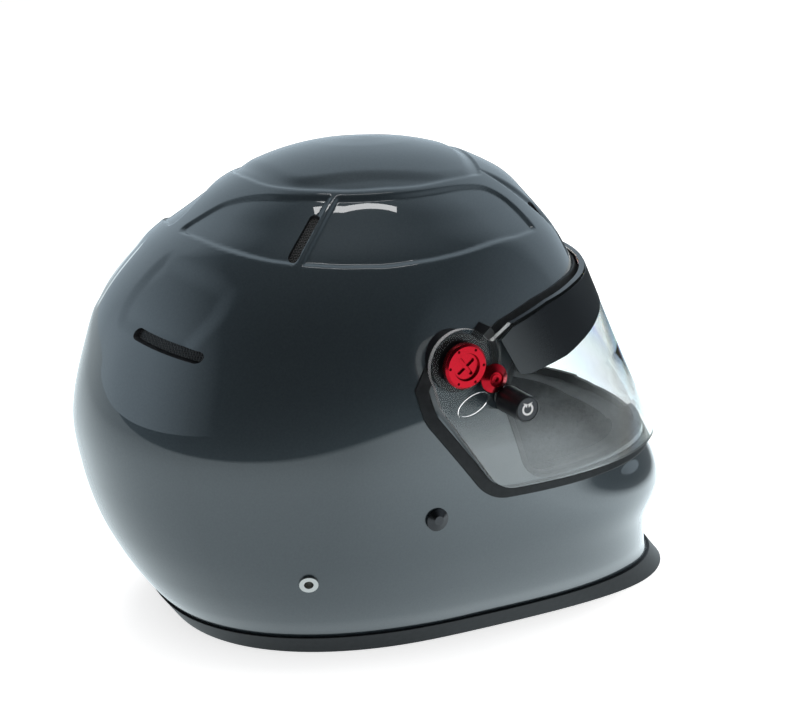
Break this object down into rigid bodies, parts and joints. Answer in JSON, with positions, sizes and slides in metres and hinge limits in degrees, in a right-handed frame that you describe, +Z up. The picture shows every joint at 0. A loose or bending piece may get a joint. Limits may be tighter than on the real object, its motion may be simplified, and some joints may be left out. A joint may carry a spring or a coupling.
{
  "type": "auto racing helmet",
  "caption": "Full-face auto racing helmet with a clear lifting shield, dark top strip, recessed vents, red shield screws, side posts, foam and fabric lining and a ring-fastened chin strap.",
  "frame": {"origin": "middle of the box that the helmet fills, on its base", "axes": "+Z up towards the crown, -Y the way the wearer faces, -X the wearer's right"},
  "size_m": [0.2988, 0.355, 0.266],
  "materials": {
    "paint": "gloss dark slate lacquer over moulded laminate",
    "edge_rubber": "matt black rubber",
    "clear_shield": "clear polished polycarbonate",
    "tint_strip": "satin charcoal film",
    "red_metal": "red anodised, turned",
    "black_plastic": "satin black moulding",
    "knob_disc": "satin dark grey disc",
    "vent_mesh": "fine black mesh",
    "bright_metal": "plated steel",
    "black_metal": "black plated steel",
    "foam": "dark moulded bead foam",
    "lining": "dark grey knitted lining",
    "webbing": "black woven webbing"
  },
  "bodies": {
    "helmet": {"shell": "paint", "base_trim": "edge_rubber", "shield_seal": "edge_rubber", "eyeport_bead": "edge_rubber", "pivot_screw_right": "red_metal", "pivot_screw_left": "red_metal", "pivot_plate_right": "black_plastic", "pivot_plate_left": "black_plastic", "top_vent_mesh_right": "vent_mesh", "top_vent_mesh_left": "vent_mesh", "rear_vent_mesh_right": "vent_mesh", "rear_vent_mesh_left": "vent_mesh", "brow_vent_mesh_right": "vent_mesh", "brow_vent_mesh_left": "vent_mesh", "chin_vent_mesh_right": "vent_mesh", "chin_vent_mesh_left": "vent_mesh", "pivot_nuts": "bright_metal", "anchor_insert_right": "bright_metal", "anchor_insert_left": "bright_metal", "strap_washer_right": "bright_metal", "strap_washer_left": "bright_metal", "strap_rivet_right": "black_metal", "strap_rivet_left": "black_metal", "strap_snap": "black_metal", "crown_liner": "foam", "chin_liner": "foam", "comfort_liner": "lining", "neck_roll": "lining", "cheek_pad_right": "lining", "cheek_pad_left": "lining", "chin_strap_right": "webbing", "chin_strap_left": "webbing"},
    "shield": {"visor": "clear_shield", "sunstrip": "tint_strip", "lock_screw_right": "red_metal", "lock_screw_left": "red_metal", "detent_follower_right": "black_plastic", "detent_follower_left": "black_plastic", "knob_spindle_right": "bright_metal", "knob_spindle_left": "bright_metal"},
    "right_knob": {"tear_off_knob_right": "black_plastic", "knob_face_right": "knob_disc"},
    "left_knob": {"tear_off_knob_left": "black_plastic", "knob_face_left": "knob_disc"},
    "inner_ring": {"small_ring": "bright_metal"},
    "outer_ring": {"big_ring": "bright_metal"}
  },
  "joints": [
    {"name": "shield_lift", "type": "hinge", "parent": "helmet", "child": "shield", "pos_m": [0, 0.014, 0.166], "axis": [-1, 0, 0], "range_deg": [0, 50]},
    {"name": "right_knob_turn", "type": "hinge", "parent": "shield", "child": "right_knob", "pos_m": [-0.14, -0.013, 0.144], "axis": [-1, 0, 0], "range_deg": [-90, 90]},
    {"name": "left_knob_turn", "type": "hinge", "parent": "shield", "child": "left_knob", "pos_m": [0.14, -0.013, 0.144], "axis": [1, 0, 0], "range_deg": [-90, 90]},
    {"name": "inner_ring_swing", "type": "hinge", "parent": "helmet", "child": "inner_ring", "pos_m": [0.016, 0.0255, 0.0054], "axis": [0, 1, 0], "range_deg": [0, 60]},
    {"name": "outer_ring_swing", "type": "hinge", "parent": "helmet", "child": "outer_ring", "pos_m": [0.0205, 0.0255, 0.0054], "axis": [0, 1, 0], "range_deg": [0, 60]}
  ]
}
